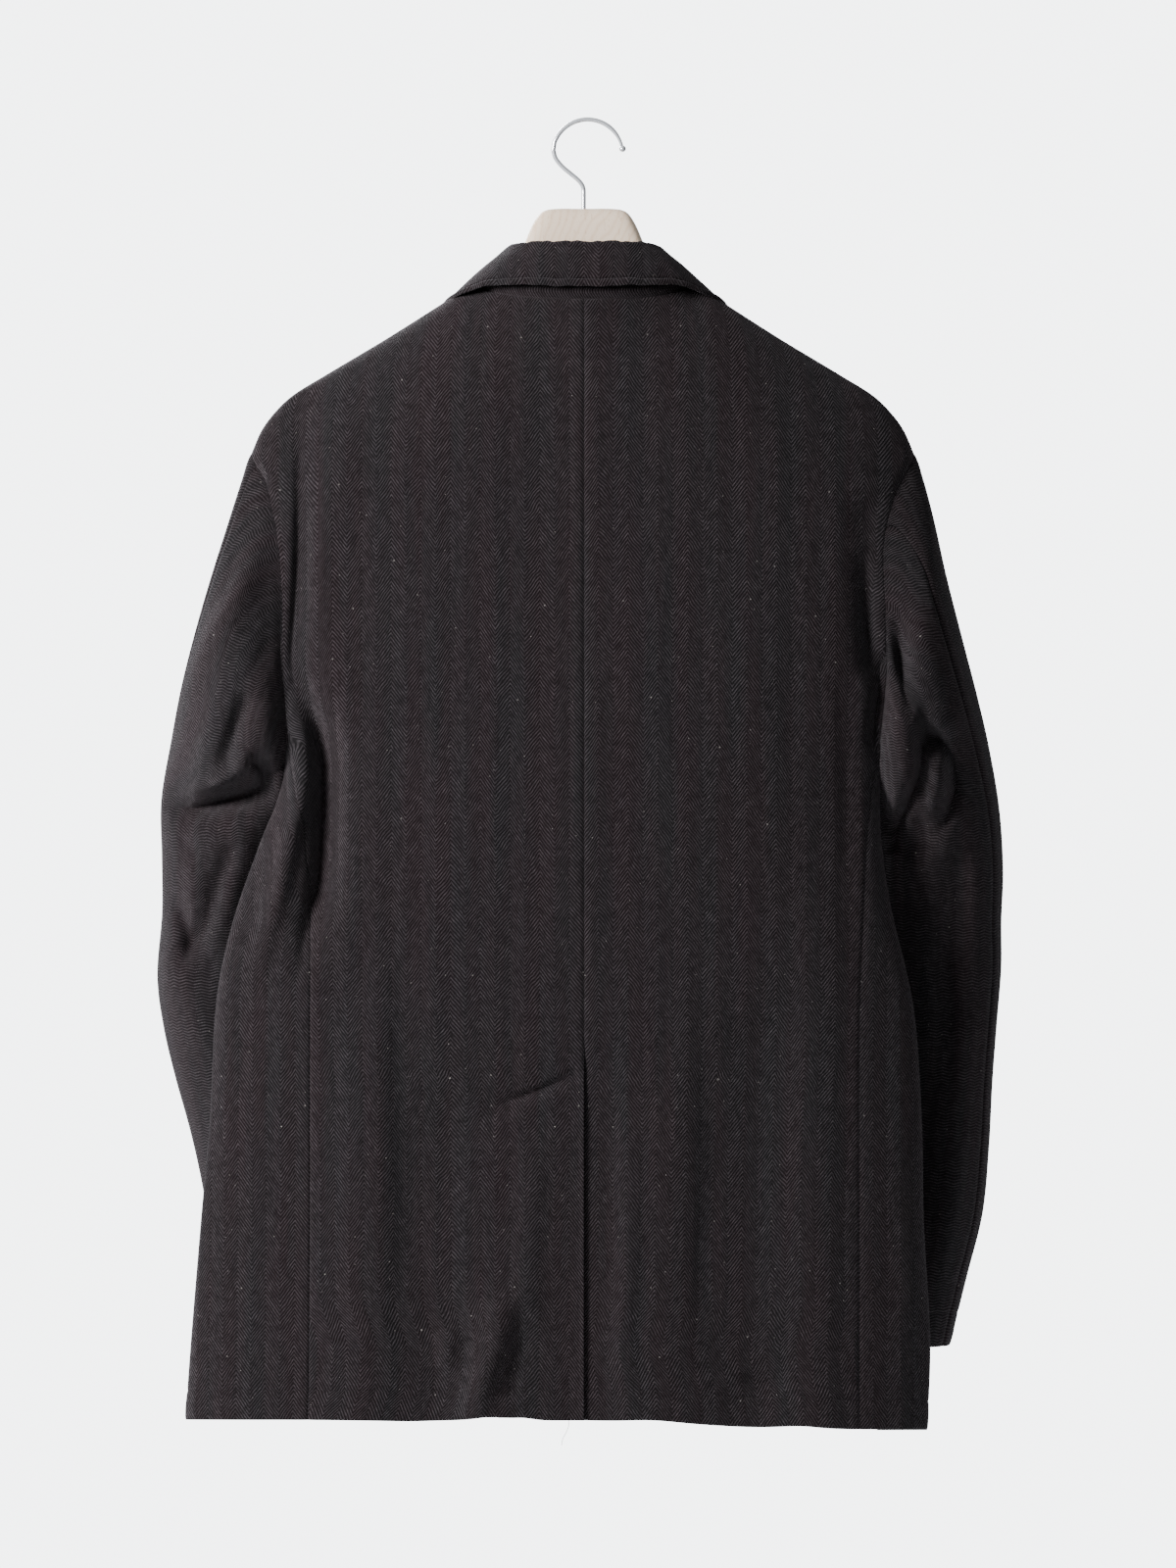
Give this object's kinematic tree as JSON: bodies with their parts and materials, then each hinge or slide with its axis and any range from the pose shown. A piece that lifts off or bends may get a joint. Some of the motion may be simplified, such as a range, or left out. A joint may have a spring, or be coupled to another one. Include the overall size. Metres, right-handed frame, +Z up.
{
  "type": "double-breasted jacket on a wooden hanger",
  "caption": "Dark herringbone double-breasted jacket with a back vent, hanging on a shaped wooden hanger with a wire hook.",
  "frame": {"origin": "inside top of the hook, where a rail, wall hook or thread carries the hanger", "axes": "+Z up, -Y out of the jacket's front, +X to the wearer's left"},
  "size_m": [0.5864, 0.1812, 0.915],
  "materials": {
    "cloth": "matt herringbone wool with a soft nap, near-black brown and charcoal yarns",
    "button": "satin dark horn look",
    "wood": "pale beech, satin",
    "wire": "bright polished"
  },
  "bodies": {
    "root": {"back_left": "cloth", "back_right": "cloth", "side_left": "cloth", "side_right": "cloth", "front_left": "cloth", "front_right": "cloth", "lapel_left": "cloth", "lapel_right": "cloth", "collar_stand": "cloth", "collar_fall": "cloth", "sleeve_top_left": "cloth", "sleeve_under_left": "cloth", "sleeve_top_right": "cloth", "sleeve_under_right": "cloth", "button_1": "button", "button_2": "button", "button_3": "button", "button_4": "button", "hanger_wood": "wood", "hanger_hook": "wire", "hook_ball": "wire"}
  },
  "joints": []
}
